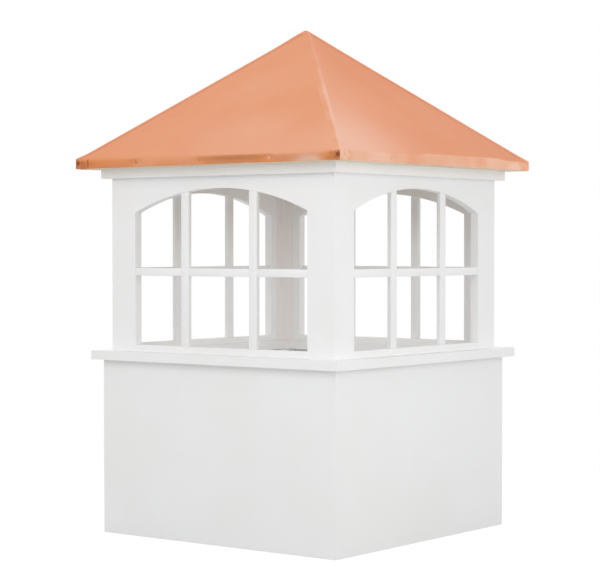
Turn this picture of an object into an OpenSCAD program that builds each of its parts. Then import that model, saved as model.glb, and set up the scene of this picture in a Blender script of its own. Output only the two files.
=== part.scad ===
// Barn cupola: a square box base, a projecting ledge, a window section with an arched opening
// in each wall, a narrow fascia and a four-sided copper roof. Millimetres, +Z up.
// The origin is at the middle of the underside of the base.

/* [Base] */
// Outside width of the square base
base_w = 610; // [450:1:1200]
// Height of the base panels
base_h = 367; // [150:1:900]
// Thickness of the base panels
base_t = 19; // [12:0.5:30]
// Side of the square corner posts inside the base
base_post = 38; // [20:1:60]

/* [Ledge] */
// Thickness of the ledge boards
ledge_t = 19; // [12:0.5:30]
// How far the ledge stands out past the base
ledge_out = 19; // [5:0.5:40]
// How far the ledge reaches in past the inside of the window walls
ledge_in = 12.5; // [0:0.5:30]

/* [Window section] */
// How far the window walls stand back from the face of the base
wall_in = 13; // [0:0.5:25]
// Height of the window walls, from the ledge to the eave boards
wall_h = 383; // [300:1:900]
// Thickness of the window walls
wall_t = 19; // [10:0.5:30]
// Width of the wall left beside each window
stile_w = 65.5; // [62:0.5:120]
// Height of the sill above the ledge
sill_h = 13.5; // [8:0.5:60]
// Height of the wall left above the crown of the arch
head_h = 45; // [25:0.5:90]
// Rise of the arch above the window's corners
arch_rise = 48; // [10:1:120]
// Width of the boards set across the inside corners, over their faces
corner_board_w = 38; // [28:1:44]
// Thickness of the boards set across the inside corners
corner_board_t = 12; // [6:0.5:13.5]

/* [Fascia] */
// Thickness of the fascia boards
fascia_t = 16.5; // [8:0.5:25]
// Height of the fascia boards, below the eave boards
fascia_h = 20.5; // [10:0.5:40]

/* [Roof] */
// How far the copper eaves stand out past the fascia
eave_out = 37; // [15:0.5:80]
// Thickness of the eave boards
eave_board_t = 19; // [12:0.5:30]
// How far the eave boards reach in past the inside of the window walls
eave_board_in = 19; // [0:0.5:40]
// Height of the roof deck's point above the eave boards
roof_rise = 278; // [120:1:700]
// Thickness of the roof deck
deck_t = 12; // [6:0.5:20]
// Thickness of the copper sheet
copper_t = 1.5; // [0.8:0.1:3]
// How far the turned-down copper hangs below the eave boards
drip_past = 1; // [0:0.5:8]
// Width of the folded hip seam on each slope, across the hip in plan
seam_w = 9; // [3:0.5:30]
// Length of the folded copper tab on each side of an eave corner
tab_l = 34; // [15:1:90]

/* [Hidden] */
$fn = 96;

// The four sides in the order that quarter turns take the front to them
SIDES = ["front", "right", "back", "left"];
function turn(side) = 90 * search([side], SIDES)[0];

white = [0.93, 0.93, 0.92];
pine = [0.80, 0.69, 0.53];
plywood = [0.74, 0.62, 0.46];
copper = [0.88, 0.58, 0.42];

// Heights of the stack, from the ground up
ledge_z = base_h;
wall_z = ledge_z + ledge_t;
eave_z = wall_z + wall_h;
deck_z = eave_z + eave_board_t;

// Half widths, from the middle out
base_half = base_w / 2;
base_inner = base_half - base_t;
ledge_half = base_half + ledge_out;
wall_half = base_half - wall_in;
wall_inner = wall_half - wall_t;
fascia_half = wall_half + fascia_t;
eave_half = fascia_half + eave_out;
deck_half = eave_half - copper_t;

// Slope of the roof
pitch = atan(roof_rise / deck_half);

// Window opening: its size, and the radius of its arch from the chord and the rise
window_w = 2 * (wall_half - stile_w);
window_h = wall_h - sill_h - head_h;
arch_r = (pow(window_w / 2, 2) + pow(arch_rise, 2)) / (2 * arch_rise);
sill_z = wall_z + sill_h;
crown_z = sill_z + window_h;

// Room that cuts run past the faces they open
past = 10;

// Half width and height of a block that holds the whole cupola
reach = max(eave_half, ledge_half) + past;
reach_z = deck_z + roof_rise + past;

// The quarter of the plan that one side takes up, bounded by the two diagonals
module quarter() {
    linear_extrude(reach_z)
        polygon([[0, 0], [-reach, -reach], [reach, -reach]]);
}

// One side of a mitred square ring: an upright profile, drawn as (distance out, height),
// run along the front, mitred at both corners and turned to its side
module mitred(side) {
    rotate(turn(side))
        intersection() {
            translate([reach, 0, 0])
                rotate([90, 0, -90])
                    linear_extrude(2 * reach)
                        children();
            quarter();
        }
}

// Upright rectangle from one distance out to another and from one height to another
module band(inner, outer, low, high) {
    translate([inner, low])
        square([outer - inner, high - low]);
}

// Base panel, mitred at the corners
module base_panel(side) {
    color(white)
        mitred(side)
            band(base_inner, base_half, 0, base_h);
}

// Square post in the corner that follows a side, inside the base
module base_corner_post(side) {
    color(pine)
        rotate(turn(side))
            translate([base_inner - base_post, -base_inner, 0])
                cube([base_post, base_post, base_h]);
}

// Flat ledge board that caps the base and carries the window wall
module ledge_board(side) {
    color(white)
        mitred(side)
            band(wall_inner - ledge_in, ledge_half, ledge_z, wall_z);
}

// Outline of a window opening: straight jambs under a segmental arch
module window_outline() {
    intersection() {
        translate([-window_w / 2, sill_z])
            square([window_w, window_h]);
        translate([0, crown_z - arch_r])
            circle(arch_r);
    }
}

// Window wall, mitred at the corners, with the arched opening cut through
module window_wall(side) {
    color(white)
        difference() {
            mitred(side)
                band(wall_inner, wall_half, wall_z, eave_z);
            rotate(turn(side))
                translate([0, past - wall_inner, 0])
                    rotate([90, 0, 0])
                        linear_extrude(wall_t + 2 * past)
                            window_outline();
        }
}

// Upright board set across an inside corner, with its edges mitred to lie on the two window walls.
// Its plan is drawn with the corner at the origin and the walls at 45 degrees to either side
module corner_board(side) {
    face = corner_board_w / 2;
    rear = face - corner_board_t;
    color(white)
        rotate(turn(side))
            translate([wall_inner, -wall_inner, wall_z])
                rotate(45)
                    linear_extrude(wall_h)
                        polygon([[-face, face], [face, face], [rear, rear], [-rear, rear]]);
}

// Fascia board on the outside of the wall, tight under the eave boards
module fascia_board(side) {
    color(white)
        mitred(side)
            band(wall_half, fascia_half, eave_z - fascia_h, eave_z);
}

// Flat board under the eaves, resting on the wall and the fascia
module eave_board(side) {
    color(pine)
        mitred(side)
            band(wall_inner - eave_board_in, deck_half, eave_z, deck_z);
}

// Sloping roof deck, its foot cut level to sit on the eave board
module deck_panel(side) {
    color(plywood)
        mitred(side)
            polygon([
                [deck_half, deck_z],
                [0, deck_z + roof_rise],
                [0, deck_z + roof_rise - deck_t / cos(pitch)],
                [deck_half - deck_t / sin(pitch), deck_z]
            ]);
}

// Profile of a copper layer that lies between two distances above the roof deck:
// down the slope, over the crease and down the edge of the eave board
module copper_profile(under, over) {
    drip_z = eave_z - drip_past;
    function slope_z(above, out) = deck_z + (deck_half - out) * tan(pitch) + above / cos(pitch);
    polygon([
        [deck_half + over, drip_z],
        [deck_half + over, slope_z(over, deck_half + over)],
        [0, slope_z(over, 0)],
        [0, slope_z(under, 0)],
        [deck_half + under, slope_z(under, deck_half + under)],
        [deck_half + under, drip_z]
    ]);
}

// Plan of the second layer at the right end of the front: a band along the hip, and a tab on the eave
module lap_plan() {
    band_x = seam_w * sqrt(2);
    polygon([[0, 0], [reach, -reach], [reach - band_x, -reach], [0, -band_x]]);
    translate([eave_half - tab_l, -reach])
        square([reach - eave_half + tab_l, reach - eave_half]);
}

// Half of a hip seam: the second layer of copper, on the right end of its own side
// or, mirrored, on the left end of the next one
module half_seam() {
    intersection() {
        mitred("front")
            copper_profile(copper_t, 2 * copper_t);
        linear_extrude(reach_z)
            lap_plan();
    }
}

// Copper sheet over one slope, bent down over the edge of the eave board. Its right edge is folded
// over the hip into a raised seam, and the seam's foot is folded down round the corner of the eaves
module copper_sheet(side) {
    color(copper)
        union() {
            mitred(side)
                copper_profile(0, copper_t);
            rotate(turn(side))
                half_seam();
            rotate(turn(side) + 90)
                mirror([1, 0, 0])
                    half_seam();
        }
}

base_panel("front");  // base_front
base_panel("right");  // base_right
base_panel("back");  // base_back
base_panel("left");  // base_left

base_corner_post("front");  // base_post_front_right
base_corner_post("right");  // base_post_back_right
base_corner_post("back");  // base_post_back_left
base_corner_post("left");  // base_post_front_left

ledge_board("front");  // ledge_front
ledge_board("right");  // ledge_right
ledge_board("back");  // ledge_back
ledge_board("left");  // ledge_left

window_wall("front");  // wall_front
window_wall("right");  // wall_right
window_wall("back");  // wall_back
window_wall("left");  // wall_left

corner_board("front");  // corner_board_front_right
corner_board("right");  // corner_board_back_right
corner_board("back");  // corner_board_back_left
corner_board("left");  // corner_board_front_left

fascia_board("front");  // fascia_front
fascia_board("right");  // fascia_right
fascia_board("back");  // fascia_back
fascia_board("left");  // fascia_left

eave_board("front");  // eave_board_front
eave_board("right");  // eave_board_right
eave_board("back");  // eave_board_back
eave_board("left");  // eave_board_left

deck_panel("front");  // deck_front
deck_panel("right");  // deck_right
deck_panel("back");  // deck_back
deck_panel("left");  // deck_left

copper_sheet("front");  // copper_front
copper_sheet("right");  // copper_right
copper_sheet("back");  // copper_back
copper_sheet("left");  // copper_left
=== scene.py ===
# %% [markdown]
# # A barn cupola with a copper roof
#
# A cupola is the small tower that lets air and light into a barn. This one is a white box base, a ledge,
# four walls with arched windows, and a pyramid of bright copper sheet. The solid model already holds
# every board and sheet at its true size. This lesson dresses it: it gives each surface its finish, fits
# the bars in the windows, folds thin copper over the roof, drives the nails and sets up the light.
#
# Everything is in metres. The front of the cupola faces -Y and its right side faces +X.

# %% Load the solid model
import math

import bpy
from mathutils import Matrix, Vector, noise


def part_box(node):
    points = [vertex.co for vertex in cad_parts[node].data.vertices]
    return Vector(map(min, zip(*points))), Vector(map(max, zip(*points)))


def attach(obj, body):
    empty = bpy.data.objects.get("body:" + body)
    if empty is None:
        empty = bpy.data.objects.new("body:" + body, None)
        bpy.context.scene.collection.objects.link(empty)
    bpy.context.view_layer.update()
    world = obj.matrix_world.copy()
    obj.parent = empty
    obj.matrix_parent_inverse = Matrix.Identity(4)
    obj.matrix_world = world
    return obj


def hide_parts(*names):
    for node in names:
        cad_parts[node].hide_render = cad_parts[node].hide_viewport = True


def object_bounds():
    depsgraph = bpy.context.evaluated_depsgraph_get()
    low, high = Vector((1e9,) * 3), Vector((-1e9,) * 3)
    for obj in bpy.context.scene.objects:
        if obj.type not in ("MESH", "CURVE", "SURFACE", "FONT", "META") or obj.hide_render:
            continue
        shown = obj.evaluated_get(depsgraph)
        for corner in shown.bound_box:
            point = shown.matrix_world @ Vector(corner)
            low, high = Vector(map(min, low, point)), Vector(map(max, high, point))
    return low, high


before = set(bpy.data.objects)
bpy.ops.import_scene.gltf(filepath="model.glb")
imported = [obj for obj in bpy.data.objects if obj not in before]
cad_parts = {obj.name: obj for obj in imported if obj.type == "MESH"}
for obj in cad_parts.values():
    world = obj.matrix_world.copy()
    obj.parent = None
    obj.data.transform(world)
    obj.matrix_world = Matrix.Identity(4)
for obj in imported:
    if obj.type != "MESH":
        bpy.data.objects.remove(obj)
CAD_LOW, CAD_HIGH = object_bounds()
SIDES = ("front", "right", "back", "left")
MM = 0.001
print(f"{len(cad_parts)} solids, overall size", [round(x, 3) for x in CAD_HIGH - CAD_LOW])

# %% [markdown]
# ## The camera
#
# The photograph looks at the corner between the front and the right side, from a little above the middle
# of the windows. Upright edges stay nearly parallel in it, so the lens is long and the camera stands well
# back. The lens is worked out from the focal length in pixels, because the picture is 600 pixels wide.

# %% Camera
IMAGE_WIDTH = 600
FOCAL_PIXELS = 1921.7
SENSOR_WIDTH = 36.0
CAMERA_PLACE = (2.500, -3.275, 0.607)
CAMERA_TURN = 37.53
CAMERA_DIP = 1.20
camera_data = bpy.data.cameras.new("corner_view")
camera_data.sensor_fit = "HORIZONTAL"
camera_data.sensor_width = SENSOR_WIDTH
camera_data.lens = FOCAL_PIXELS / IMAGE_WIDTH * SENSOR_WIDTH
camera = bpy.data.objects.new("corner_view", camera_data)
bpy.context.scene.collection.objects.link(camera)
camera.location = CAMERA_PLACE
camera.rotation_euler = (math.radians(90 - CAMERA_DIP), 0, math.radians(CAMERA_TURN))
bpy.context.scene.camera = camera
bpy.context.scene.view_settings.view_transform = "Standard"
print("lens", round(camera_data.lens, 1), "mm")

# %% [markdown]
# ## Shared finishes
#
# Three effects turn up in more than one material. No real surface has quite one colour all over, so the
# first group blends two colours in soft patches. Boards and rolled metal both carry fine lines from the
# rollers and dies that made them, so the second group draws thin streaks. The third is wood grain, for
# the pine and the plywood inside. Each material could draw these by itself, but a node group keeps an
# effect in one place, and a material only sets its own scale and colours on the group's sockets.

# %% Node helpers
def feed(tree, socket, value):
    """Link a socket to another node's output, or set it to a plain value."""
    if isinstance(value, bpy.types.NodeSocket):
        tree.links.new(value, socket)
    else:
        socket.default_value = value


def add_node(tree, kind, inputs=None, **settings):
    """Add a node, set its own properties, and feed its inputs by name or number."""
    node = tree.nodes.new(kind)
    for key, value in settings.items():
        setattr(node, key, value)
    for key, value in (inputs or {}).items():
        feed(tree, node.inputs[key], value)
    return node


print("nodes can be added and linked")

# %% Mixes, sums and ranges
def mix_colour(tree, share, a, b, blend="MIX"):
    """The colour that a mix of two colours gives."""
    node = add_node(tree, "ShaderNodeMix", {0: share, 6: a, 7: b}, data_type="RGBA", blend_type=blend)
    return node.outputs[2]


def calculate(tree, operation, *values):
    """The value that a Math node gives."""
    return add_node(tree, "ShaderNodeMath", dict(enumerate(values)), operation=operation).outputs["Value"]


def ramp(tree, value, low, high, to_low=0.0, to_high=1.0, soft=False):
    """A value carried over from one range to another and held at both ends."""
    node = add_node(tree, "ShaderNodeMapRange", {
        "Value": value, "From Min": low, "From Max": high, "To Min": to_low, "To Max": to_high},
        interpolation_type="SMOOTHSTEP" if soft else "LINEAR")
    return node.outputs["Result"]


print("colours can be mixed and values worked out")

# %% Group: uneven tone
def new_group(name, inputs, outputs):
    """An empty node group with named sockets. Returns it with the nodes of its inputs and outputs."""
    group = bpy.data.node_groups.new(name, "ShaderNodeTree")
    for in_out, sockets in (("INPUT", inputs), ("OUTPUT", outputs)):
        for label, kind in sockets.items():
            group.interface.new_socket(label, in_out=in_out, socket_type="NodeSocket" + kind)
    print("group:", name, "with", [s.name for s in group.interface.items_tree])
    return group, group.nodes.new("NodeGroupInput"), group.nodes.new("NodeGroupOutput")


uneven_tone, given, result = new_group(
    "uneven tone",
    {"Position": "Vector", "Patches Per Metre": "Float", "Main Colour": "Color", "Patch Colour": "Color"},
    {"Colour": "Color"})
cloud = add_node(uneven_tone, "ShaderNodeTexNoise", {
    "Vector": given.outputs["Position"], "Scale": given.outputs["Patches Per Metre"],
    "Detail": 3.0, "Roughness": 0.55})
patch = ramp(uneven_tone, cloud.outputs["Fac"], low=0.36, high=0.66, soft=True)
patched = mix_colour(uneven_tone, patch, given.outputs["Main Colour"], given.outputs["Patch Colour"])
feed(uneven_tone, result.inputs["Colour"], patched)
print("uneven tone:", len(uneven_tone.nodes), "nodes")

# %% Group: fine streaks
fine_streaks, given, result = new_group(
    "fine streaks", {"Position": "Vector", "Lines Per Metre": "Vector"}, {"Streak": "Float"})
stretched = add_node(fine_streaks, "ShaderNodeVectorMath", {
    0: given.outputs["Position"], 1: given.outputs["Lines Per Metre"]}, operation="MULTIPLY")
threads = add_node(fine_streaks, "ShaderNodeTexNoise", {
    "Vector": stretched.outputs["Vector"], "Scale": 1.0, "Detail": 4.0, "Roughness": 0.6})
feed(fine_streaks, result.inputs["Streak"], threads.outputs["Fac"])
print("fine streaks:", len(fine_streaks.nodes), "nodes")

# %% Group: wood grain
RINGS = 9.0
wood_grain, given, result = new_group(
    "wood grain",
    {"Position": "Vector", "Grain Stretch": "Vector", "Early Wood": "Color", "Late Wood": "Color"},
    {"Colour": "Color"})
along = add_node(wood_grain, "ShaderNodeVectorMath", {
    0: given.outputs["Position"], 1: given.outputs["Grain Stretch"]}, operation="MULTIPLY")
growth = add_node(wood_grain, "ShaderNodeTexNoise", {
    "Vector": along.outputs["Vector"], "Scale": 1.0, "Detail": 2.0, "Distortion": 0.4})
ring = calculate(wood_grain, "FRACT", calculate(wood_grain, "MULTIPLY", growth.outputs["Fac"], RINGS))
late = ramp(wood_grain, ring, low=0.45, high=0.95, soft=True)
grained = mix_colour(wood_grain, late, given.outputs["Early Wood"], given.outputs["Late Wood"])
feed(wood_grain, result.inputs["Colour"], grained)
print("wood grain:", len(wood_grain.nodes), "nodes")

# %% [markdown]
# ## White board
#
# The walls, the base and the trim are cellular PVC board. It is white all through, with a satin skin. What
# keeps it from looking like paper is very slight: soft patches a shade warmer or cooler, and a fine tooth
# in the skin that breaks up its sheen. Fresh board sends back about nine tenths of the light, so its
# colour is written at that level and the lamps do the rest.

# %% Material helpers
def new_material(name):
    """A material with a fresh Principled shader. Returns it with its tree and the position on the piece."""
    material = bpy.data.materials.new(name)
    material.use_nodes = True
    tree = material.node_tree
    return material, tree, add_node(tree, "ShaderNodeTexCoord").outputs["Object"]


def fill_group(tree, group, inputs):
    """A shared group placed in a material, with its sockets set or linked."""
    return add_node(tree, "ShaderNodeGroup", inputs, node_tree=group)


def shade(tree, inputs):
    """Set or link the inputs of a material's Principled shader."""
    shader = tree.nodes["Principled BSDF"]
    for key, value in inputs.items():
        feed(tree, shader.inputs[key], value)


print("materials can be made")

# %% White board
STREAK_RANGE = (0.3, 0.7)
white_board, tree, position = new_material("white_board")
tone = fill_group(tree, uneven_tone, {
    "Position": position, "Patches Per Metre": 5.0,
    "Main Colour": (0.922, 0.925, 0.930, 1), "Patch Colour": (0.910, 0.906, 0.900, 1)})
skin = fill_group(tree, fine_streaks, {"Position": position, "Lines Per Metre": (420, 420, 420)})
tooth = add_node(tree, "ShaderNodeBump", {
    "Height": skin.outputs["Streak"], "Strength": 0.06, "Distance": 0.2 * MM})
shade(tree, {
    "Base Color": tone.outputs["Colour"], "Normal": tooth.outputs["Normal"],
    "Roughness": ramp(tree, skin.outputs["Streak"], *STREAK_RANGE, to_low=0.40, to_high=0.52)})
print("white board:", len(tree.nodes), "nodes")

# %% [markdown]
# ## Wood
#
# Pine boards close the eaves, and plywood carries the copper. Both are bare and show only from below, but a
# look up into the cupola should still find wood. Primed pine posts stiffen the base, and boards a shade
# pinker and darker than the posts stand across the inside corners, where the windows show them. Grain runs
# along a board, so the position is stretched along one axis before the rings are drawn, and each heading of
# board gets its own material.

# %% Pine and plywood
ACROSS, ALONG = 30.0, 2.2
FIBRES_PER_RING = 12
FIBRE_SHARE = 0.22
PINE = ((0.88, 0.76, 0.60, 1), (0.80, 0.65, 0.46, 1))
PLY = ((0.80, 0.67, 0.48, 1), (0.70, 0.54, 0.36, 1))
PRIMED = ((0.88, 0.87, 0.85, 1), (0.84, 0.83, 0.80, 1))
# The boards across the inside corners: a shade pinker and darker than the posts.
PINKISH_GREY = ((0.86, 0.82, 0.81, 1), (0.83, 0.79, 0.78, 1))


def wood(name, run, colours, roughness):
    """A wood whose grain runs along one axis: 0 for X, 1 for Y, 2 for Z."""
    material, tree, position = new_material(name)
    stretch = [ALONG if axis == run else ACROSS for axis in range(3)]
    grain = fill_group(tree, wood_grain, {
        "Position": position, "Grain Stretch": stretch, "Early Wood": colours[0], "Late Wood": colours[1]})
    fibres = fill_group(tree, fine_streaks, {
        "Position": position, "Lines Per Metre": [s * FIBRES_PER_RING for s in stretch]}).outputs["Streak"]
    relief = add_node(tree, "ShaderNodeBump", {"Height": fibres, "Strength": 0.25, "Distance": 0.3 * MM})
    shade(tree, {
        "Base Color": mix_colour(tree, FIBRE_SHARE, grain.outputs["Colour"], fibres, "OVERLAY"),
        "Normal": relief.outputs["Normal"], "Roughness": roughness})
    return material


pine = [wood(f"pine_{'xy'[run]}", run, PINE, roughness=0.6) for run in range(2)]
plywood = [wood(f"plywood_{'xy'[run]}", run, PLY, roughness=0.7) for run in range(2)]
primed_post = wood("primed_pine", 2, PRIMED, roughness=0.55)
corner_pine = wood("pinkish_grey_pine", 2, PINKISH_GREY, roughness=0.55)
print("woods:", [m.name for m in (*pine, *plywood, primed_post, corner_pine)])

# %% Dress the boards
def dress(node, material):
    """Put a material in every slot of a CAD node."""
    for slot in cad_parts[node].material_slots:
        slot.material = material


for number, side in enumerate(SIDES):
    run = number % 2
    for board in ("base", "ledge", "wall", "fascia"):
        dress(f"{board}_{side}", white_board)
    dress(f"eave_board_{side}", pine[run])
    dress(f"deck_{side}", plywood[run])
for corner in ("front_right", "back_right", "back_left", "front_left"):
    dress(f"base_post_{corner}", primed_post)
    dress(f"corner_board_{corner}", corner_pine)
print("boards dressed")

# %% [markdown]
# ## Copper
#
# New copper sheet is a clean metal, so its colour comes from the metal itself and from what it reflects.
# On the real roof the tone still drifts between orange and pink, and there are thin level lines from the
# rolling mill. Where hands and tools have worn the sheet it is paler, and where it was left alone it has
# begun to turn a deeper orange, and brown at the corner nails. Much of the pale and the deeper orange is
# painted light as well: pale stretches are painted highlights, and deeper ones painted dark reflections of
# the uneven metal. That value, wear and painted sheen together, is stored on each sheet's points, from -2
# for brown through -1 for deep orange to 1 for pale, because it follows the sheet and not the space around
# it.

# %% Copper
# DEEP_ORANGE and BROWN also serve as painted dark reflections, and PALE as painted highlights.
DEEP_ORANGE = (0.74, 0.27, 0.10, 1)
BROWN = (0.33, 0.13, 0.06, 1)
PALE = (0.88, 0.57, 0.43, 1)
LINE_SHARE = 0.04
copper, tree, position = new_material("copper")
tone = fill_group(tree, uneven_tone, {
    "Position": position, "Patches Per Metre": 4.5,
    "Main Colour": (0.800, 0.360, 0.198, 1), "Patch Colour": (0.785, 0.335, 0.176, 1)})
# The stored value mixes wear with painted sheen: above 0 it paints highlights, below 0 dark reflections as
# well as ageing and nail stains.
wear_and_sheen = add_node(tree, "ShaderNodeAttribute", attribute_name="wear_and_sheen").outputs["Fac"]
deepened_tone = mix_colour(tree, ramp(tree, wear_and_sheen, low=0.0, high=-1.0), tone.outputs["Colour"], DEEP_ORANGE)
browned_tone = mix_colour(tree, ramp(tree, wear_and_sheen, low=-1.0, high=-2.0), deepened_tone, BROWN)
paled_tone = mix_colour(tree, ramp(tree, wear_and_sheen, low=0.0, high=1.0), browned_tone, PALE)
rolled = fill_group(tree, fine_streaks, {
    "Position": position, "Lines Per Metre": (4, 4, 260)}).outputs["Streak"]
mill_lines = add_node(tree, "ShaderNodeBump", {"Height": rolled, "Strength": 0.01, "Distance": 0.2 * MM})
shade(tree, {
    "Base Color": mix_colour(tree, LINE_SHARE, paled_tone, rolled, "OVERLAY"), "Metallic": 1.0,
    "Roughness": ramp(tree, rolled, *STREAK_RANGE, to_low=0.27, to_high=0.31),
    "Normal": mill_lines.outputs["Normal"], "Specular Tint": (1.0, 0.87, 0.84, 1)})
print("copper:", len(tree.nodes), "nodes")

# %% [markdown]
# ## Working by hand in code
#
# Blender's operators act on what is selected. Working from a script, the selection has to be made on
# purpose each time: first one piece, then the points or edges of it that the next operator needs. These
# helpers do just that, and keep the later cells short.

# %% Select a piece or parts of it
def only(piece):
    """Select one piece and nothing else."""
    bpy.ops.object.select_all(action="DESELECT")
    piece.select_set(True)
    bpy.context.view_layer.objects.active = piece


def edit(piece, kind="VERT", wanted=None):
    """Open a piece in edit mode with the wanted points selected, or the edges between them, or all of it."""
    only(piece)
    bpy.ops.object.mode_set(mode="EDIT")
    bpy.ops.mesh.select_mode(type=kind)
    bpy.ops.mesh.select_all(action="SELECT" if wanted is None else "DESELECT")
    if wanted is None:
        return
    bpy.ops.object.mode_set(mode="OBJECT")
    points = piece.data.vertices
    if kind == "VERT":
        for v in points:
            v.select = wanted(v.co)
    else:
        for e in piece.data.edges:
            e.select = all(wanted(points[i].co) for i in e.vertices)
    bpy.ops.object.mode_set(mode="EDIT")


def close():
    """Leave edit mode."""
    bpy.ops.object.mode_set(mode="OBJECT")


print("pieces can be selected and opened")

# %% Name, join and turn pieces
def new_piece(name):
    """Name the primitive that was just added and put its place into its mesh."""
    piece = bpy.context.object
    piece.name = piece.data.name = name
    bpy.ops.object.transform_apply(location=True, rotation=True, scale=True)
    return piece


def joined(pieces, name):
    """Join pieces into one mesh."""
    only(pieces[0])
    for piece in pieces:
        piece.select_set(True)
    bpy.ops.object.join()
    piece = bpy.context.object
    piece.name = piece.data.name = name
    return piece


def turn(piece, degrees):
    """Turn a piece about the middle of the cupola and put the turn into its mesh."""
    only(piece)
    piece.rotation_euler = (0, 0, math.radians(degrees))
    bpy.ops.object.transform_apply(location=False, rotation=True, scale=False)


def four_round(piece, name):
    """A piece and three copies of it, each with its own mesh, turned to the other sides."""
    pieces = [piece]
    for number in range(1, 4):
        only(piece)
        bpy.ops.object.duplicate()
        copy = bpy.context.object
        copy.name = copy.data.name = f"{name}_{SIDES[number]}"
        turn(copy, 90 * number)
        pieces.append(copy)
    print(name, "pieces:", [p.name for p in pieces])
    return pieces


print("pieces can be named, joined, turned and copied")

# %% [markdown]
# ## The window bars
#
# Two uprights and a crossbar divide each window into six lights. They are plain square sticks with their
# edges just eased, flush with the face of the wall. One could cut the six lights out of a plate, but real
# bars are separate sticks, so here the uprights run through and three short lengths make the crossbar. The
# opening is measured on the wall itself, so the tops of the uprights can be cut to the slope of the arch.

# %% Measure the window
HAIR = MM / 10
WALL_END = 20 * MM
wall_low, wall_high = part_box("wall_front")
wall_points = [v.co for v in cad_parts["wall_front"].data.vertices]
on_face = [p for p in wall_points if abs(p.y - wall_low.y) < HAIR]
opening = [p for p in on_face if abs(p.x) < wall_high.x - WALL_END]
JAMB = max(p.x for p in opening)
SILL_Z = min(p.z for p in opening)
CROWN_Z = max(p.z for p in opening)
SPRING_Z = max(p.z for p in opening if p.x > JAMB - HAIR)
RISE = CROWN_Z - SPRING_Z
ARCH_R = (JAMB ** 2 + RISE ** 2) / (2 * RISE)
print(f"window {2 * JAMB:.4f} wide, from {SILL_Z:.4f} to {CROWN_Z:.4f}, radius of the arch {ARCH_R:.3f}")

# %% Make a stick
BAR_DEPTH = 9.5 * MM
EASED = 0.8 * MM


def stick(name, low_x, high_x, low_z, high_z):
    """A square stick, flush with the face of the front wall."""
    bpy.ops.object.select_all(action="DESELECT")
    bpy.ops.mesh.primitive_cube_add(
        size=1, location=((low_x + high_x) / 2, wall_low.y + BAR_DEPTH / 2, (low_z + high_z) / 2),
        scale=(high_x - low_x, BAR_DEPTH, high_z - low_z))
    return new_piece(name)


def ease_edges(piece):
    """Round the edges of a stick a little."""
    edit(piece, "EDGE")
    bpy.ops.mesh.bevel(offset=EASED, segments=2, affect="EDGES")
    close()


print(f"sticks {BAR_DEPTH / MM:.1f} mm deep")

# %% Cut the bars of one window
UPRIGHT_X = 89.5 * MM
UPRIGHT_W = 20.0 * MM
INNER, OUTER = UPRIGHT_X - UPRIGHT_W / 2, UPRIGHT_X + UPRIGHT_W / 2
CROSS_LOW = SILL_Z + 145.0 * MM
CROSS_HIGH = CROSS_LOW + 16.3 * MM


def arch_z(x):
    """Height of the underside of the arch."""
    return CROWN_Z - ARCH_R + math.sqrt(ARCH_R ** 2 - x ** 2)


sticks = []
for hand in (-1, 1):
    upright = stick("upright", *sorted((hand * INNER, hand * OUTER)), SILL_Z, CROWN_Z)
    edit(upright)
    bpy.ops.mesh.bisect(
        plane_co=(hand * INNER, 0, arch_z(INNER)),
        plane_no=(hand * (arch_z(INNER) - arch_z(OUTER)), 0, OUTER - INNER),
        clear_outer=True, use_fill=True)
    close()
    sticks.append(upright)
for low_x, high_x in ((-JAMB, -OUTER), (-INNER, INNER), (OUTER, JAMB)):
    sticks.append(stick("crossbar", low_x, high_x, CROSS_LOW, CROSS_HIGH))
for piece in sticks:
    ease_edges(piece)
window_bars = joined(sticks, "window_bars_front")
window_bars.data.materials.append(white_board)
print("one window's bars:", len(window_bars.data.polygons), "faces")

# %% Copy the bars to the four windows
SMOOTH_STICK = math.radians(40)
for piece in four_round(window_bars, "window_bars"):
    only(piece)
    bpy.ops.object.shade_smooth_by_angle(angle=SMOOTH_STICK)
    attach(piece, "root")
print("bars fitted")

# %% [markdown]
# ## The copper sheets
#
# Each slope is one sheet of copper, trimmed along the hips and turned down over the edge of the eaves. The
# solid model has the sheet dead flat and sharp. Real sheet is folded over a rounded edge and it is never
# flat. So the sheet is made again here as thin metal: a tilted grid is trimmed with two cuts, its lower
# edge is pulled down, the fold is rounded, and only at the end does it get a thickness. The squares of
# the grid are as long as they are wide in plan, so that the cuts run from corner to corner of them. The
# tip is pressed down by the thickness of the sheet, to leave room for the seams that close over it.

# %% Measure the roof
deck_low, deck_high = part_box("deck_front")
copper_low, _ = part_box("copper_front")
solid_points = [v.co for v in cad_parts["copper_front"].data.vertices]
EAVE = -copper_low.x
TAB_FACE = -copper_low.y
TAB_END = min(p.x for p in solid_points if p.y < -TAB_FACE + HAIR / 10 and p.x > 0)
SHEET = TAB_FACE - EAVE
DRIP_Z = copper_low.z
PITCH = math.atan2(deck_high.z - deck_low.z, deck_high.x)


def slope_z(layers, out):
    """Height of the top of one or two layers of copper, at a distance out from the middle."""
    return deck_low.z + (deck_high.x - out) * math.tan(PITCH) + layers * SHEET / math.cos(PITCH)


CREASE_Z = slope_z(1, EAVE)
print(f"eave {EAVE:.4f}, sheet {SHEET / MM:.2f} mm, crease {CREASE_Z:.4f}, drip {DRIP_Z:.4f}")

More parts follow.
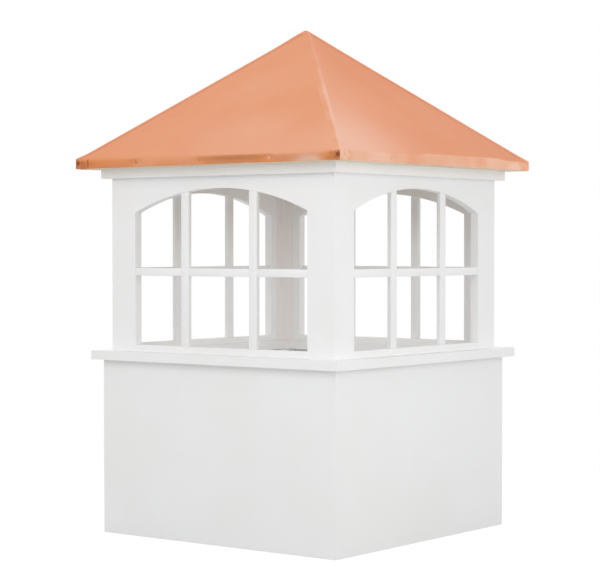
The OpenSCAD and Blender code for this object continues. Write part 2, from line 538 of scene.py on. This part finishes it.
# %% Trim the front sheet
ROWS = 44
bpy.ops.object.select_all(action="DESELECT")
bpy.ops.mesh.primitive_grid_add(
    x_subdivisions=2 * ROWS, y_subdivisions=ROWS, size=1,
    location=(0, -EAVE / 2, (CREASE_Z + slope_z(1, 0)) / 2), rotation=(PITCH, 0, 0))
bpy.context.object.scale = (2 * EAVE, EAVE / math.cos(PITCH), 1)
sheet = new_piece("copper_sheet_front")
for hip in ((1, 1, 0), (-1, 1, 0)):
    edit(sheet)
    bpy.ops.mesh.bisect(plane_co=(0, 0, 0), plane_no=hip, clear_outer=True, threshold=HAIR)
    close()
edit(sheet, "VERT", lambda p: p.y > -MM)
bpy.ops.transform.translate(value=(0, 0, -SHEET))
close()
print("trimmed sheet:", len(sheet.data.polygons), "faces")

# %% Turn down its edge
TURN_DOWN_ROWS = (0.4, 0.2, 0.2, 0.2)
FOLD = 3.5 * MM


def pull(step):
    """Extrude what is selected and move it by a step."""
    bpy.ops.mesh.extrude_region_move(TRANSFORM_OT_translate={"value": step})


edit(sheet, "EDGE", lambda p: p.y < -EAVE + HAIR)
for share in TURN_DOWN_ROWS:
    pull((0, 0, (DRIP_Z - CREASE_Z) * share))
close()
edit(sheet, "EDGE", lambda p: p.y < -EAVE + HAIR and abs(p.z - CREASE_Z) < HAIR)
bpy.ops.mesh.bevel(offset=FOLD, segments=4, affect="EDGES")
close()
print("front sheet:", len(sheet.data.polygons), "faces")

# %% [markdown]
# ## Bellies, bows and beaten hips
#
# The four sheets are copies of the first, each with its own mesh, and each is then spoiled in its own way.
# A cloud texture lifts the middle of each slope by a millimetre or so and fades out at the hips and the
# fold, as a weight on each point says. The turned-down edge is held by three nails and by the folded
# corners: it bows in or out in the bays between them and is drawn in at each nail. Its lower edge was cut
# by hand, higher at some corners than at others. Last, a mallet has beaten the hips down, some more than
# others. A texture can't follow nails and hips, so those points are moved in code, by a distance that
# fades from one place to another.

# %% Fades
def fade(value, start, end):
    """0 at start, 1 at end, smooth between."""
    t = min(1.0, max(0.0, (value - start) / (end - start)))
    return t * t * (3 - 2 * t)


def from_hip(p):
    """How far a point of a slope lies from the nearer hip."""
    return (-p.y - abs(p.x)) / math.sqrt(2)


print("a fade by quarters:", [round(fade(n, 0, 4), 2) for n in range(5)])

# %% Lift the slopes
BELLY = 5.0 * MM
CLOUD_SIZE = 160 * MM
CLOUD_LEVEL = 0.42
FLAT_BY_HIP = (12 * MM, 100 * MM)
FLAT_BY_EAVE = (4 * MM, 70 * MM)
as_front = [Matrix.Rotation(math.radians(-90 * n), 4, "Z") for n in range(4)]


def apply_modifier(piece, kind, **settings):
    """Add a modifier, set it and apply it."""
    only(piece)
    modifier = piece.modifiers.new(kind.lower(), kind)
    for key, value in settings.items():
        setattr(modifier, key, value)
    bpy.ops.object.modifier_apply(modifier=modifier.name)


sheets = four_round(sheet, "copper_sheet")
slope_clouds = bpy.data.textures.new("slope clouds", "CLOUDS")
slope_clouds.noise_scale = CLOUD_SIZE
slope_clouds.noise_depth = 1
for number, piece in enumerate(sheets):
    belly = piece.vertex_groups.new(name="belly")
    for v in piece.data.vertices:
        p = as_front[number] @ v.co
        weight = fade(from_hip(p), *FLAT_BY_HIP) * fade(EAVE + p.y, *FLAT_BY_EAVE)
        belly.add([v.index], weight, "REPLACE")
    apply_modifier(
        piece, "DISPLACE", texture=slope_clouds, direction="Z", strength=BELLY,
        mid_level=CLOUD_LEVEL, vertex_group="belly")
print("slopes lifted by clouds of", CLOUD_SIZE, "m")

# %% Place the nails of an edge
NAIL_X = (-176 * MM, -4 * MM, 172 * MM)
NAIL_Z = (CREASE_Z + DRIP_Z) / 2
bay_ends = (-TAB_END, *NAIL_X, TAB_END)
print("bays:", [round((b - a) / MM) for a, b in zip(bay_ends, bay_ends[1:])], "mm long")

# %% Bow the turned-down edges between their nails
BAYS = {
    "front": (0.9, 1.2, -1.3, -0.5), "right": (-0.3, 0.4, -0.4, 0.2),
    "back": (0.8, -0.7, 0.5, -0.9), "left": (-0.8, 0.9, -0.4, 0.7)}
FULL_BOW = 50 * MM
FOLD_HOLDS = 4 * MM
DIMPLE = 0.8 * MM
DIMPLE_REACH = (2 * MM, 14 * MM)


def way_down(p):
    """0 at the crease, 1 at the drip edge."""
    return min(1.0, max(0.0, (CREASE_Z - p.z) / (CREASE_Z - DRIP_Z)))


def bow(bays, p):
    """How far a point of the turned-down edge stands out from flat."""
    down = way_down(p)
    hang = down * (2 - down)
    out = 0.0
    for start, end, most in zip(bay_ends, bay_ends[1:], bays):
        if start < p.x < end:
            out = most * MM * hang * fade(min(p.x - start, end - p.x), 0.0, FULL_BOW)
    from_nail = min(math.hypot(p.x - x, p.z - NAIL_Z) for x in NAIL_X)
    return out - DIMPLE * fade(CREASE_Z - p.z, 0.0, FOLD_HOLDS) * (1 - fade(from_nail, *DIMPLE_REACH))


def each_point(pieces):
    """The points of four pieces, each with its side's number and its place with that side turned to -Y."""
    for number, piece in enumerate(pieces):
        for v in piece.data.vertices:
            yield number, v, as_front[number] @ v.co


for number, v, p in each_point(sheets):
    outward = as_front[number].inverted() @ Vector((0, -1, 0))
    v.co += outward * bow(BAYS[SIDES[number]], p)
print("edges bowed by up to", max(abs(most) for bays in BAYS.values() for most in bays), "mm")

# %% Trim the drip edges
CORNER_LIFT = (2.2 * MM, 2.2 * MM, 1.0 * MM, 0.3 * MM)
for number, v, p in each_point(sheets):
    over = (p.x + EAVE) / (2 * EAVE)
    lift = CORNER_LIFT[number - 1] * (1 - over) + CORNER_LIFT[number] * over
    v.co.z += lift * way_down(p)
print("drip edges up at the corners by", [round(c / MM, 1) for c in CORNER_LIFT], "mm")

# %% Beat the hips down
SETTLED = (0.0, 0.4 * MM, 0.6 * MM, 1.3 * MM)
NEAR_HIP = (6 * MM, 30 * MM)
NEAR_POINT = (5 * MM, 45 * MM)
NEAR_FOOT = (2 * MM, 15 * MM)


def beaten(p, foot):
    """1 along a hip, and 0 at the roof's point and at the hip's foot."""
    return fade(CAD_HIGH.z - p.z, *NEAR_POINT) * fade(p.z - foot, *NEAR_FOOT)


for number, v, p in each_point(sheets):
    settled = SETTLED[number if p.x > 0 else number - 1]
    near_hip = 1 - fade(from_hip(p), *NEAR_HIP)
    v.co.z -= settled * near_hip * beaten(p, CREASE_Z)
print("hips down by", [round(s / MM, 1) for s in SETTLED], "mm")

# %% [markdown]
# ## Wear and painted reflections on the sheets
#
# Each slope changes from its left hip to its right one, and again low down and high up. Part of that is
# wear and part is painted light: the pale stretch beside the front hip of the right slope is a painted
# highlight, and the darker stretches are partly painted reflections. The turned-down edge has a tone of its
# own in every bay, which paints the reflection of each bowed bay, with a few scuffs, some of them painted
# glints and dark marks by the nails, and the copper is brown round the corner nails. In places the pale
# tone of the edge runs up over the fold, in others the slope's tone comes down over it, and both paint the
# highlight along the fold. An image could hold all this, but a value on each point needs no file and moves
# with the sheet. A little noise is added, so that no tone is quite even.

# %% Wear and painted reflections of the slopes
# Slope tones are partly wear and partly painted reflections; the pale value at the front hip of the right
# slope is a painted highlight.
SLOPE_WEAR_AND_SHEEN = {
    "front": (-0.30, -0.05, 0.0, 0.28), "right": (0.37, -0.66, 0.30, 0.08),
    "back": (0.30, -0.20, 0.10, 0.0), "left": (-0.10, 0.30, 0.20, -0.1)}
# How much paler or darker each slope is high up by its left hip, partly wear and partly painted reflection.
HIGH_WEAR_AND_SHEEN = {"front": 0.08, "right": -0.28, "back": -0.1, "left": 0.15}
LOW_RISE = (111.3 * MM, 31.3 * MM)
HIGH_RISE = (91.3 * MM, 181.3 * MM)
LEFT_TO_RIGHT = (-300 * MM, 80 * MM)
BY_LEFT_HIP = (8 * MM, 35 * MM)


def mottle(p, strength, per_metre):
    """Noise that is the same on every run."""
    return strength * noise.noise(p * per_metre)


def slope_wear_and_sheen(side, p):
    """Wear and painted reflections of a slope at its left and right hips, how much more there is low down,
    and then high up.
    """
    at_left, at_right, low_left, low_right = SLOPE_WEAR_AND_SHEEN[side]
    rise = p.z - CREASE_Z
    low_down = fade(rise, *LOW_RISE)
    over = fade(p.x, *LEFT_TO_RIGHT)
    wear_and_sheen = (at_left + low_left * low_down) * (1 - over) + (at_right + low_right * low_down) * over
    from_left_hip = (p.x - p.y) / math.sqrt(2)
    wear_and_sheen += HIGH_WEAR_AND_SHEEN[side] * fade(rise, *HIGH_RISE) * fade(from_left_hip, *BY_LEFT_HIP)
    return wear_and_sheen + mottle(p, strength=0.12, per_metre=7)


print("slopes are worn by", SLOPE_WEAR_AND_SHEEN)

# %% Painted reflections and wear of the turned-down edges
# Each bay's tone between the nails paints the reflection of its bowed metal, paler or darker.
EDGE_BAY_SHEEN = {
    "front": (-0.8, -0.25, -0.6, 0.1), "right": (0.7, 0.35, 0.45, 0.6),
    "back": (0.2, -0.4, 0.3, -0.2), "left": (-0.3, 0.3, -0.5, 0.2)}
BAY_BLUR = 20 * MM
# Scuffs along the drip edge; the two on the front paint a dark reflection just past the third nail and a
# highlight farther on.
SCUFFS_AND_GLINTS = {
    "front": ((0.195, -0.7), (0.270, 0.7)), "right": ((0.29, 0.7),),
    "back": ((0.12, 0.7),), "left": ((-0.21, 0.7), (0.10, -0.5))}
SCUFF_AND_GLINT_REACH = (6 * MM, 22 * MM)
STAIN = 1.2
STAIN_REACH = (3 * MM, 30 * MM)
NAILED = ("front", "back")
CORNER_NAIL = EAVE - 5.5 * MM
CORNER_NAIL_Z = NAIL_Z + 2.0 * MM


def from_mark(along, up):
    """How far a point lies from the middle of a mark that is twice as long as it is high."""
    return math.hypot(along / 2, up)


def stain(along, z):
    """How much browner the copper is near a corner nail."""
    return STAIN * (1 - fade(from_mark(along - CORNER_NAIL, z - CORNER_NAIL_Z), *STAIN_REACH))


def edge_sheen_and_wear(side, p):
    """Painted reflection of each bay of an edge, with its scuffs and painted glints, and the stains of its
    corner nails.
    """
    wear_and_sheen = mottle(p, strength=0.3, per_metre=28)
    for start, end, most in zip(bay_ends, bay_ends[1:], EDGE_BAY_SHEEN[side]):
        past_start = fade(p.x, start - BAY_BLUR, start + BAY_BLUR)
        wear_and_sheen += most * past_start * (1 - fade(p.x, end - BAY_BLUR, end + BAY_BLUR))
    for x, most in SCUFFS_AND_GLINTS[side]:
        wear_and_sheen += most * (1 - fade(from_mark(p.x - x, p.z - DRIP_Z), *SCUFF_AND_GLINT_REACH))
    return wear_and_sheen - (stain(abs(p.x), p.z) if side in NAILED else 0.0)


print(sum(len(s) for s in SCUFFS_AND_GLINTS.values()), "scuffs, and stains on", NAILED)

# %% Store the wear and painted sheen of the sheets
# Millimetres by which the edge's tone starts above the crease, at the ends and midway; this paints the
# highlight along the fold.
FOLD_SHEEN_REACH = {"front": (-2.5, -2.5), "right": (0.0, 4.0), "back": (-1.0, 1.0), "left": (0.0, 2.0)}
FOLD_BLUR = 2 * MM
MID_START = (-90 * MM, -30 * MM)
MID_END = (210 * MM, 270 * MM)


def below_fold(side, p):
    """0 on the slope and 1 on the turned-down edge, which starts higher or lower at its ends and midway."""
    at_ends, midway = FOLD_SHEEN_REACH[side]
    mid_stretch = fade(p.x, *MID_START) * (1 - fade(p.x, *MID_END))
    start_z = CREASE_Z + (at_ends + (midway - at_ends) * mid_stretch) * MM
    return fade(start_z - p.z, -FOLD_BLUR, FOLD_BLUR)


def store_wear_and_sheen(piece, values):
    """Wear and painted sheen, stored on the points of a piece."""
    piece.data.attributes.new("wear_and_sheen", "FLOAT", "POINT").data.foreach_set("value", values)
    print(piece.name, "wear from", round(min(values), 2), "to", round(max(values), 2))


sheen_and_wear = [[], [], [], []]
for number, v, p in each_point(sheets):
    side = SIDES[number]
    on_edge = below_fold(side, p)
    sheen_and_wear[number].append(slope_wear_and_sheen(side, p) * (1 - on_edge) + edge_sheen_and_wear(side, p) * on_edge)
for piece, values in zip(sheets, sheen_and_wear):
    store_wear_and_sheen(piece, values)

# %% [markdown]
# ## The hip seams
#
# The edge of one sheet is folded over the hip and lies on the next sheet as a narrow seam, dressed down flat
# with a mallet. At the eaves the seam is turned down and folded round the corner, which leaves a tab on both
# sides. The two halves of a seam mirror each other across the hip, so one half is modelled with the hip
# laid along the X axis, a Mirror modifier makes the other, and the seam is then turned into place. All
# four meet in one blunt point at the top.

# %% Lay out half a hip seam
SEAM_W = max(-p.y for p in solid_points if abs(p.x) < HAIR / 10) / math.sqrt(2)
SEAM_COLUMNS, SEAM_ROWS = 56, 3
OVERLENGTH = 1.1
hip_fall = math.atan(math.tan(PITCH) / math.sqrt(2))
along_hip = Vector((math.cos(hip_fall), 0, -math.sin(hip_fall)))
slope_out = Vector((math.sin(PITCH) / math.sqrt(2), -math.sin(PITCH) / math.sqrt(2), math.cos(PITCH)))
across = along_hip.cross(slope_out)
hip_run = TAB_FACE * math.sqrt(2) / math.cos(hip_fall)
strip_w = SEAM_W / abs(across.y)
middle = Vector((0, 0, slope_z(2, 0))) + along_hip * hip_run / 2 + across * strip_w / 2
axes = Matrix((along_hip, across, slope_out)).transposed().to_4x4()
size = Matrix.Diagonal((hip_run * OVERLENGTH, strip_w, 1, 1))
bpy.ops.object.select_all(action="DESELECT")
bpy.ops.mesh.primitive_grid_add(x_subdivisions=SEAM_COLUMNS, y_subdivisions=SEAM_ROWS, size=1)
bpy.context.object.matrix_world = Matrix.Translation(middle) @ axes @ size
seam = new_piece("hip_seam_front")
print(f"seam {SEAM_W / MM:.1f} mm wide, tab from {TAB_END:.4f}")

# %% Trim the seam and turn down its foot
FOOT_ROWS, TAB_ROWS = 4, 7
EAVE_RUN = Vector((-1, -1, 0)).normalized()
EAVE_OUT = Vector((1, -1, 0)).normalized()
for place, away in ((EAVE_OUT * TAB_FACE, EAVE_OUT), (Vector(), EAVE_RUN)):
    edit(seam)
    bpy.ops.mesh.bisect(plane_co=place, plane_no=away, clear_outer=True)
    close()
seam_foot = slope_z(2, TAB_FACE)
edit(seam, "EDGE", lambda p: abs(p.z - seam_foot) < HAIR)
for row in range(FOOT_ROWS):
    pull((0, 0, (DRIP_Z - seam_foot) / FOOT_ROWS))
close()
tab_reach = TAB_FACE - TAB_END - SEAM_W * math.sqrt(2)
edit(seam, "EDGE", lambda p: p.z < seam_foot + HAIR and abs(p.y + SEAM_W) < HAIR)
for row in range(TAB_ROWS):
    pull(EAVE_RUN * tab_reach / TAB_ROWS)
close()
print("half a seam:", len(seam.data.polygons), "faces")

# %% Dress the edges of the seam down
SEAM_SHEET = 0.4 * MM
CRUMPLE = 0.45 * MM
FOLD_DROP = 0.9 * MM
FOLD_REACH = 7 * MM
RIDGE_SHARE = 0.2
fold_out = (EAVE_OUT + Vector((0, 0, 1))).normalized()


def off_hip(distance):
    """0 on the ridge of a seam, 1 at its edge."""
    return fade(distance, RIDGE_SHARE * SEAM_W, SEAM_W)


for v in seam.data.vertices:
    p = v.co.copy()
    at_fold = 1 - fade(abs(p.z - seam_foot), 0.0, FOLD_REACH)
    if p.z > seam_foot + HAIR:
        v.co -= slope_out * (SHEET - SEAM_SHEET) * off_hip(-p.y)
    else:
        v.co -= EAVE_OUT * CRUMPLE * fade(-p.y, 0, SEAM_W)
    v.co -= fold_out * FOLD_DROP * at_fold * off_hip(-p.y)
print(f"edges down by {(SHEET - SEAM_SHEET) / MM:.2f} mm")

# %% Mirror the seam, round its folds and copy it
SEAM_FOLD = 3.0 * MM
POINT_REACH = 1.5 * SEAM_FOLD
POINT_DROP = 0.8 * MM
apply_modifier(seam, "MIRROR", use_axis=(False, True, False), use_clip=True, merge_threshold=HAIR)
edit(seam, "EDGE", lambda p: abs(p.y) < HAIR / 10)
bpy.ops.mesh.bevel(offset=SEAM_FOLD, segments=4, affect="EDGES")
close()
for v in seam.data.vertices:
    if math.hypot(v.co.x, v.co.y) < POINT_REACH:
        v.co = (0, 0, slope_z(1, 0) - POINT_DROP)
turn(seam, -45)
seams = four_round(seam, "hip_seam")

# %% [markdown]
# ## Crumpled tabs
#
# No two corners fold alike. The tabs were beaten round by hand. Each could be bent point by point, but it is
# enough to shake the points of each one a little, from its own starting number, which keeps the shake the
# same every time the lesson runs. The seams follow the sheets where those were trimmed and beaten down. The
# end of a tab is pressed flat on some corners and stands off on others, and a nail draws the tab in on the
# front and on the back. Each half of a seam and each tab then gets its own wear and painted sheen.

# %% Crumple the tabs
FIRST_SEED = 3


def along_eave(p):
    """How far a point of a tab lies from the middle of its side."""
    return min(abs(p.x), abs(p.y))


def on_tab(p):
    """Whether a point may be shaken: on a tab, clear of its end and of the corner."""
    return p.z < seam_foot - MM and TAB_END + MM < along_eave(p) < TAB_FACE - SEAM_W


for number, piece in enumerate(seams):
    edit(piece, "VERT", on_tab)
    bpy.ops.transform.vertex_random(offset=CRUMPLE, uniform=1.0, normal=0.0, seed=number + FIRST_SEED)
    close()
print(f"tabs shaken by up to {CRUMPLE / MM:.2f} mm")

# %% Settle the seams and press the tabs on
PRESSED = {"front": 1.0, "right": 1.0, "back": 0.6, "left": 0.1}
RIDGE_SETTLED = 1.75
TAB_DIMPLE_REACH = (4 * MM, 12 * MM)


def half_of(p):
    """Which half of a seam a point is on: 0 for its own side, 1 for the next one."""
    return 0 if -p.y > p.x else 1


def on_nailed_half(number, p):
    """Whether a point is on the half of its seam that lies on the front or the back."""
    return half_of(p) == number % 2


for number, v, p in each_point(seams):
    from_ridge = off_hip(abs(p.x + p.y) / math.sqrt(2))
    settled = SETTLED[number] * (RIDGE_SETTLED - (RIDGE_SETTLED - 1) * from_ridge)
    v.co.z += CORNER_LIFT[number] * way_down(p) - settled * beaten(p, seam_foot)
    if v.co.z < seam_foot + HAIR:
        press = (SHEET - SEAM_SHEET) * PRESSED[SIDES[number]]
        press *= fade(along_eave(v.co), TAB_FACE - SEAM_W, TAB_END)
        from_nail = math.hypot(along_eave(v.co) - CORNER_NAIL, v.co.z - CORNER_NAIL_Z)
        if on_nailed_half(number, p):
            press += DIMPLE * (1 - fade(from_nail, *TAB_DIMPLE_REACH))
        axis = 0 if abs(v.co.x) > abs(v.co.y) else 1
        v.co[axis] -= math.copysign(press, v.co[axis])
print("tabs pressed on by up to", round(max(PRESSED.values()) * (SHEET - SEAM_SHEET) / MM, 2), "mm")

# %% Store the wear and painted sheen of the seams
# Seam halves and tabs are partly wear and partly painted sheen: pale ones paint highlights beside hips and
# at corners, darker ones painted reflections.
SEAM_WEAR_AND_SHEEN = {"front": (0.2, 0.7), "right": (0.1, 0.3), "back": (0.3, 0.1), "left": (0.0, -0.15)}
TAB_WEAR_AND_SHEEN = {"front": (-0.3, 0.7), "right": (0.4, 0.1), "back": (0.2, -0.2), "left": (-0.2, -0.4)}
AT_POINT = -0.3
BELOW_POINT = (30 * MM, 200 * MM)
sheen_and_wear = [[], [], [], []]
for number, v, p in each_point(seams):
    half = half_of(p)
    if p.z < seam_foot - MM:
        stained = stain(along_eave(p), p.z) if on_nailed_half(number, p) else 0.0
        value = TAB_WEAR_AND_SHEEN[SIDES[number]][half] - stained + mottle(v.co, strength=0.7, per_metre=130)
    else:
        share = AT_POINT + (1 - AT_POINT) * fade(CAD_HIGH.z - p.z, *BELOW_POINT)
        value = SEAM_WEAR_AND_SHEEN[SIDES[number]][half] * share + mottle(v.co, strength=0.2, per_metre=30)
    sheen_and_wear[number].append(value)
for piece, values in zip(seams, sheen_and_wear):
    store_wear_and_sheen(piece, values)

# %% Give the metal its thickness and join each seam to its sheet
SMOOTH_COPPER = math.radians(28)
for number, side in enumerate(SIDES):
    for piece, thickness in ((sheets[number], SHEET), (seams[number], SEAM_SHEET)):
        edit(piece)
        bpy.ops.mesh.remove_doubles(threshold=HAIR / 10)
        bpy.ops.mesh.normals_make_consistent(inside=False)
        close()
        if sum(f.normal.z * f.area for f in piece.data.polygons) < 0:
            edit(piece)
            bpy.ops.mesh.flip_normals()
            close()
        apply_modifier(piece, "SOLIDIFY", thickness=thickness, offset=-1.0, use_even_offset=True)
    cover = joined([sheets[number], seams[number]], f"copper_cover_{side}")
    cover.data.materials.append(copper)
    bpy.ops.object.shade_smooth_by_angle(angle=SMOOTH_COPPER)
    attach(cover, "root")
    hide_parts(f"copper_{side}")
    print(cover.name, len(cover.data.polygons), "faces")

# %% [markdown]
# ## The nails
#
# Copper is fixed with copper nails, so that no other metal stains it. Three hold each turned-down edge, some
# still bright from the hammer and some gone dull. On the front and the back, two larger dark ones pin the
# folded corners. A squashed ball could stand for a head, but a hammered one is a low dome with a crisp rim.
# So one is modelled from a circle, pulled out in three shrinking steps, and copied to each place.

# %% Metals of the nails
def nail_metal(name, main, patch):
    """Copper of a nail head, more or less gone dark with tarnish."""
    material, tree, position = new_material(name)
    tone = fill_group(tree, uneven_tone, {
        "Position": position, "Patches Per Metre": 300.0, "Main Colour": main, "Patch Colour": patch})
    shade(tree, {"Base Color": tone.outputs["Colour"], "Metallic": 1.0, "Roughness": 0.42})
    return material


bright_nail = nail_metal("bright_nail", (0.86, 0.50, 0.34, 1), (0.76, 0.38, 0.23, 1))
dull_nail = nail_metal("dull_nail", (0.62, 0.26, 0.12, 1), (0.50, 0.19, 0.08, 1))
dark_nail = nail_metal("dark_nail", (0.36, 0.135, 0.055, 1), (0.22, 0.08, 0.035, 1))
print("nail metals:", [m.name for m in (bright_nail, dull_nail, dark_nail)])

# %% Model a nail
HEAD_R = 3.0 * MM
HEAD_POINTS = 20
STEPS = ((0.25 * MM, 0.95), (0.25 * MM, 0.8), (0.15 * MM, 0.55))
bpy.ops.object.select_all(action="DESELECT")
bpy.ops.mesh.primitive_circle_add(
    vertices=HEAD_POINTS, radius=HEAD_R, fill_type="NGON", rotation=(math.pi / 2, 0, 0))
nail = new_piece("nail")
edit(nail)
for rise, share in STEPS:
    pull((0, -rise, 0))
    bpy.ops.transform.resize(value=(share, 1, share))
bpy.ops.mesh.select_all(action="SELECT")
bpy.ops.mesh.normals_make_consistent(inside=False)
close()
print("a nail:", len(nail.data.polygons), "faces")

# %% Copy the nails along the eaves
SINK = 0.68 * MM
CORNER_SIZE = 1.45
SMOOTH_HEAD = math.radians(40)
DULL = {"front": (0, 1), "right": (), "back": (1,), "left": (2,)}
corner_places = [
    (x, TAB_FACE - SINK, CORNER_NAIL_Z, CORNER_SIZE, dark_nail) for x in (-CORNER_NAIL, CORNER_NAIL)]
for number, side in enumerate(SIDES):
    heads = []
    edge_places = [
        (x, EAVE - DIMPLE, NAIL_Z, 1.0, dull_nail if n in DULL[side] else bright_nail)
        for n, x in enumerate(NAIL_X)]
    for x, out, z, size, metal in edge_places + (corner_places if side in NAILED else []):
        only(nail)
        bpy.ops.object.duplicate()
        head = bpy.context.object
        head.location = (x, -out, z)
        head.scale = (size, 1, size)
        bpy.ops.object.transform_apply(location=True, rotation=False, scale=True)
        head.data.materials.append(metal)
        heads.append(head)
    row = joined(heads, f"eave_nails_{side}")
    turn(row, 90 * number)
    bpy.ops.object.shade_smooth_by_angle(angle=SMOOTH_HEAD)
    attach(row, "root")
    print(row.name, len(heads), "heads")
bpy.data.objects.remove(nail)

# %% [markdown]
# ## The studio
#
# A white product photograph is mostly white surroundings: a pale floor, a white backdrop, and light from
# everywhere. The floor takes the light and the shadow of the base. A glow that only the camera sees lifts
# it near the base, and farther out it runs over into the white of the backdrop. It is clear from below, so
# that the cupola can be looked at from there. The world is white to the eye and in reflections, and a
# little dimmer as a light.

# %% Floor
FLOOR_SIZE = 60
bpy.ops.object.select_all(action="DESELECT")
bpy.ops.mesh.primitive_plane_add(size=FLOOR_SIZE, location=(0, 0, CAD_LOW.z))
floor = new_piece("studio_floor")
print("floor at", round(CAD_LOW.z, 4))

# %% White of the floor
FLOOR_GREY = (0.64, 0.64, 0.64, 1)
FLOOR_GLOW = 0.54
RUN_OUT = (0.6, 1.5)


def bare_tree(name):
    """A material without a Principled shader, and its tree."""
    material = bpy.data.materials.new(name)
    material.use_nodes = True
    material.node_tree.nodes.remove(material.node_tree.nodes["Principled BSDF"])
    return material, material.node_tree


def from_middle(tree):
    """How far a point lies from the middle of its piece."""
    spot = add_node(tree, "ShaderNodeTexCoord").outputs["Object"]
    return add_node(tree, "ShaderNodeVectorMath", {0: spot}, operation="LENGTH").outputs["Value"]


def eye_or_gloss(tree, path):
    """1 for what the camera sees, straight or in a reflection."""
    return calculate(tree, "MAXIMUM", path.outputs["Is Camera Ray"], path.outputs["Is Glossy Ray"])


floor_white, tree = bare_tree("studio_floor")
path = add_node(tree, "ShaderNodeLightPath")
paint = add_node(tree, "ShaderNodeBsdfDiffuse", {"Color": FLOOR_GREY})
glow = add_node(tree, "ShaderNodeEmission", {
    "Strength": calculate(tree, "MULTIPLY", path.outputs["Is Camera Ray"], FLOOR_GLOW)})
near = add_node(tree, "ShaderNodeAddShader", {0: paint.outputs["BSDF"], 1: glow.outputs["Emission"]})
run_out = ramp(tree, from_middle(tree), *RUN_OUT, soft=True)
white = add_node(tree, "ShaderNodeEmission", {"Strength": 1.0})
lit = add_node(tree, "ShaderNodeMixShader", {
    0: calculate(tree, "MULTIPLY", run_out, eye_or_gloss(tree, path)),
    1: near.outputs["Shader"], 2: white.outputs["Emission"]})
one_sided = add_node(tree, "ShaderNodeMixShader", {
    0: add_node(tree, "ShaderNodeNewGeometry").outputs["Backfacing"],
    1: lit.outputs["Shader"], 2: add_node(tree, "ShaderNodeBsdfTransparent").outputs["BSDF"]})
feed(tree, tree.nodes["Material Output"].inputs["Surface"], one_sided.outputs["Shader"])
floor.data.materials.append(floor_white)
print("floor:", len(tree.nodes), "nodes")

# %% World
WORLD_LIGHT = 0.70
world = bpy.data.worlds.new("white_studio")
bpy.context.scene.world = world
world.use_nodes = True
tree = world.node_tree
tree.nodes.clear()
path = add_node(tree, "ShaderNodeLightPath")
light = add_node(tree, "ShaderNodeBackground", {"Color": (1, 1, 1, 1), "Strength": WORLD_LIGHT})
backdrop = add_node(tree, "ShaderNodeBackground", {"Color": (1, 1, 1, 1), "Strength": 1.0})
blend = add_node(tree, "ShaderNodeMixShader", {
    0: calculate(tree, "MAXIMUM", eye_or_gloss(tree, path), path.outputs["Is Transmission Ray"]),
    1: light.outputs["Background"], 2: backdrop.outputs["Background"]})
add_node(tree, "ShaderNodeOutputWorld", {"Surface": blend.outputs["Shader"]})
print("world light", WORLD_LIGHT)

# %% [markdown]
# ## Lamps and cards
#
# Four large soft lamps stand round the cupola, one to a side, and lift the walls a little above the
# surroundings. The one on the right stands nearer and lower than the others. Two small lamps hang inside,
# one between the windows and one in the base, so that the far walls show bright through the windows as
# they do in the photograph. Metal is only as interesting as what it reflects, so two grey cards stand where
# the copper mirrors them: a low one for the front eave, and one for the far end of the right slope. They
# are darkest in the middle and fade to white, so that no hard edge shows in the metal. The cards show in
# reflections and nowhere else.

# %% Lamps round the cupola
LOOK_AT = Vector((0, 0, 0.6))
LAMP_WIDTH, LAMP_HEIGHT = 0.8, 0.56


def aim(thing, azimuth, elevation, distance):
    """Stand a thing round the cupola and turn its -Z axis to the window section."""
    a, e = math.radians(azimuth), math.radians(elevation)
    back = Vector((math.sin(a) * math.cos(e), -math.cos(a) * math.cos(e), math.sin(e)))
    thing.location = LOOK_AT + back * distance
    thing.rotation_euler = (-back).to_track_quat("-Z", "Y").to_euler()


def new_lamp(name, kind, energy):
    """A lamp that the camera doesn't see."""
    lamp = bpy.data.objects.new(name, bpy.data.lights.new(name, kind))
    bpy.context.scene.collection.objects.link(lamp)
    lamp.data.energy = energy
    lamp.visible_camera = False
    print(name, round(energy, 2), "W")
    return lamp


for name, azimuth, elevation, distance, level in (
        ("front_lamp", 5, 22, 2.4, 1.58), ("right_lamp", 76, 6, 1.7, 1.48),
        ("back_lamp", 185, 24, 2.4, 1.3), ("left_lamp", 256, 24, 2.4, 1.3)):
    width, height = LAMP_WIDTH * distance, LAMP_HEIGHT * distance
    lamp = new_lamp(name, "AREA", level * math.pi * width * height)
    lamp.data.shape = "RECTANGLE"
    lamp.data.size, lamp.data.size_y = width, height
    lamp.visible_glossy = False
    aim(lamp, azimuth, elevation, distance)

# %% Lamps inside
BULB_R = 0.10
for name, height, energy in (("inside_lamp", 0.49, 0.36), ("base_lamp", 0.20, 0.16)):
    lamp = new_lamp(name, "POINT", energy)
    lamp.data.shadow_soft_size = BULB_R
    lamp.data.specular_factor = 0.0
    lamp.location = (0, 0, height)

# %% Cards
CARD_DISTANCE = 3.0
CARD_MIDDLE = 0.35
CARD_EDGE = 0.5
card_grey, tree = bare_tree("card_grey")
dull = add_node(tree, "ShaderNodeEmission", {
    "Strength": ramp(tree, from_middle(tree), 0.0, CARD_EDGE, CARD_MIDDLE, 1.0, soft=True)})
feed(tree, tree.nodes["Material Output"].inputs["Surface"], dull.outputs["Emission"])
for name, azimuth, elevation, width, height in (
        ("front_eave_card", -37, -3, 3.0, 1.2), ("right_slope_card", -170, 16, 3.6, 1.6)):
    bpy.ops.object.select_all(action="DESELECT")
    bpy.ops.mesh.primitive_plane_add(size=1)
    card = bpy.context.object
    card.name = name
    card.scale = (width, height, 1)
    aim(card, azimuth, elevation, CARD_DISTANCE)
    card.data.materials.append(card_grey)
    card.visible_camera = card.visible_diffuse = card.visible_shadow = card.visible_transmission = False
print("cards placed")
